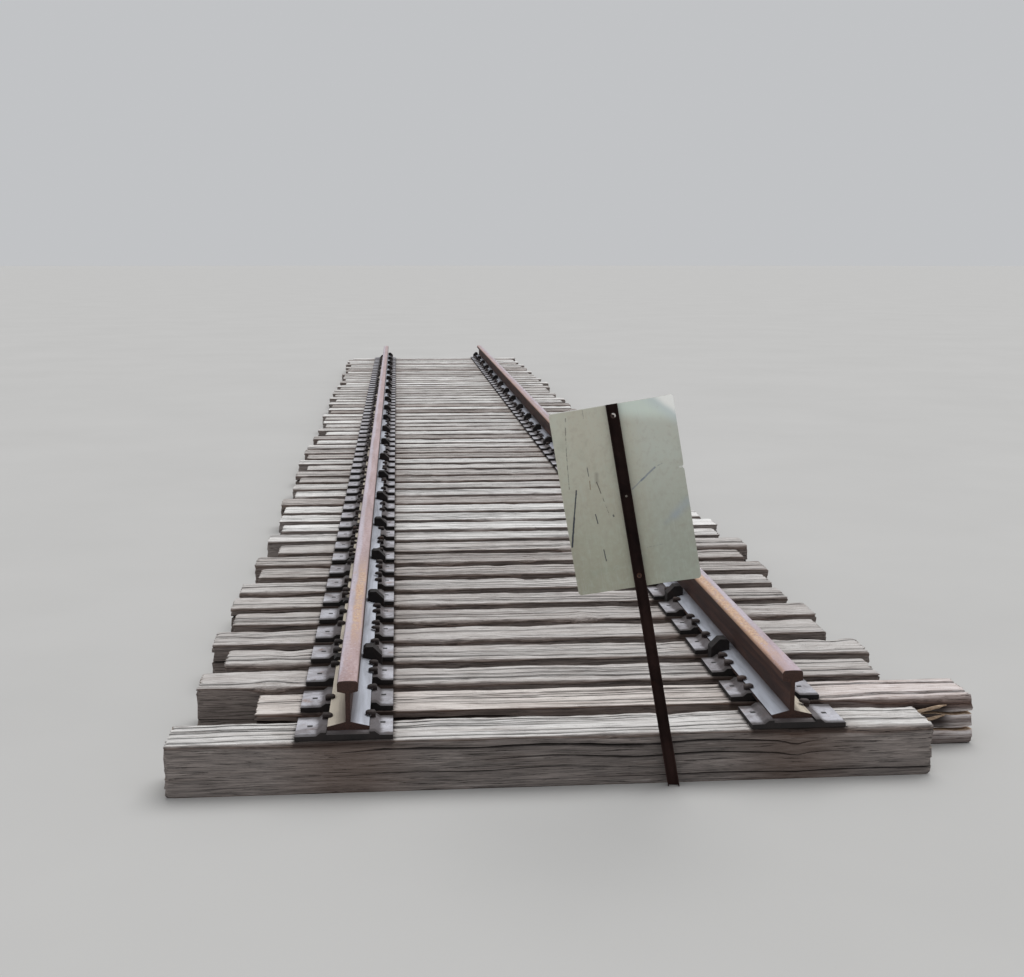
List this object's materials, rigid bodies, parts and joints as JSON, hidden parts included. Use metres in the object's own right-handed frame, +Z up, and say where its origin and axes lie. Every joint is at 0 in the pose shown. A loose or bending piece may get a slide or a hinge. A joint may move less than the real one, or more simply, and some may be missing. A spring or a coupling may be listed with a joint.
{
  "type": "railway track end with stop sign",
  "caption": "End of a railway track: rusty flat-bottom rails on close-set timber ties with plates and anchors, and a leaning sign between the rail ends.",
  "frame": {"origin": "on the ground, under the middle of the end tie, on the track's centre line", "axes": "+Z up; +Y along the track, away from its end; +X to the right, seen from beyond the track's end"},
  "size_m": [2.854, 18.378, 1.314],
  "materials": {
    "rail_steel": "rusted rolled steel, worn smoother on the head",
    "tie_timber": "weathered silver-grey timber with long cracks",
    "split_tie_timber": "bleached, split timber",
    "plate_steel": "rusted steel with a grey sheen",
    "anchor_steel": "dark, rough rust",
    "post_steel": "dark weathered channel",
    "panel_aluminium": "bare dull sheet, scratched",
    "bolt_steel": "dull zinc"
  },
  "bodies": {
    "root": {"left_rail": "rail_steel", "right_rail": "rail_steel", "ties_bay_1": "tie_timber", "ties_bay_2": "tie_timber", "ties_bay_3": "tie_timber", "ties_bay_4": "tie_timber", "ties_bay_5": "tie_timber", "ties_bay_6": "tie_timber", "end_tie": "tie_timber", "split_tie": "split_tie_timber", "split_tie_splinters": "split_tie_timber", "tie_plates_left_1": "plate_steel", "tie_plates_left_2": "plate_steel", "tie_plates_left_3": "plate_steel", "tie_plates_left_4": "plate_steel", "tie_plates_left_5": "plate_steel", "tie_plates_left_6": "plate_steel", "tie_plates_right_1": "plate_steel", "tie_plates_right_2": "plate_steel", "tie_plates_right_3": "plate_steel", "tie_plates_right_4": "plate_steel", "tie_plates_right_5": "plate_steel", "tie_plates_right_6": "plate_steel", "rail_anchors_left_1": "anchor_steel", "rail_anchors_left_2": "anchor_steel", "rail_anchors_left_3": "anchor_steel", "rail_anchors_left_4": "anchor_steel", "rail_anchors_left_5": "anchor_steel", "rail_anchors_left_6": "anchor_steel", "rail_anchors_right_1": "anchor_steel", "rail_anchors_right_2": "anchor_steel", "rail_anchors_right_3": "anchor_steel", "rail_anchors_right_4": "anchor_steel", "rail_anchors_right_5": "anchor_steel", "rail_anchors_right_6": "anchor_steel", "sign_post": "post_steel", "sign_panel": "panel_aluminium", "sign_bolt_upper": "bolt_steel", "sign_bolt_lower": "bolt_steel", "sign_washer_upper": "bolt_steel", "sign_washer_lower": "bolt_steel", "sign_nut_upper": "bolt_steel", "sign_nut_lower": "bolt_steel"}
  },
  "joints": []
}
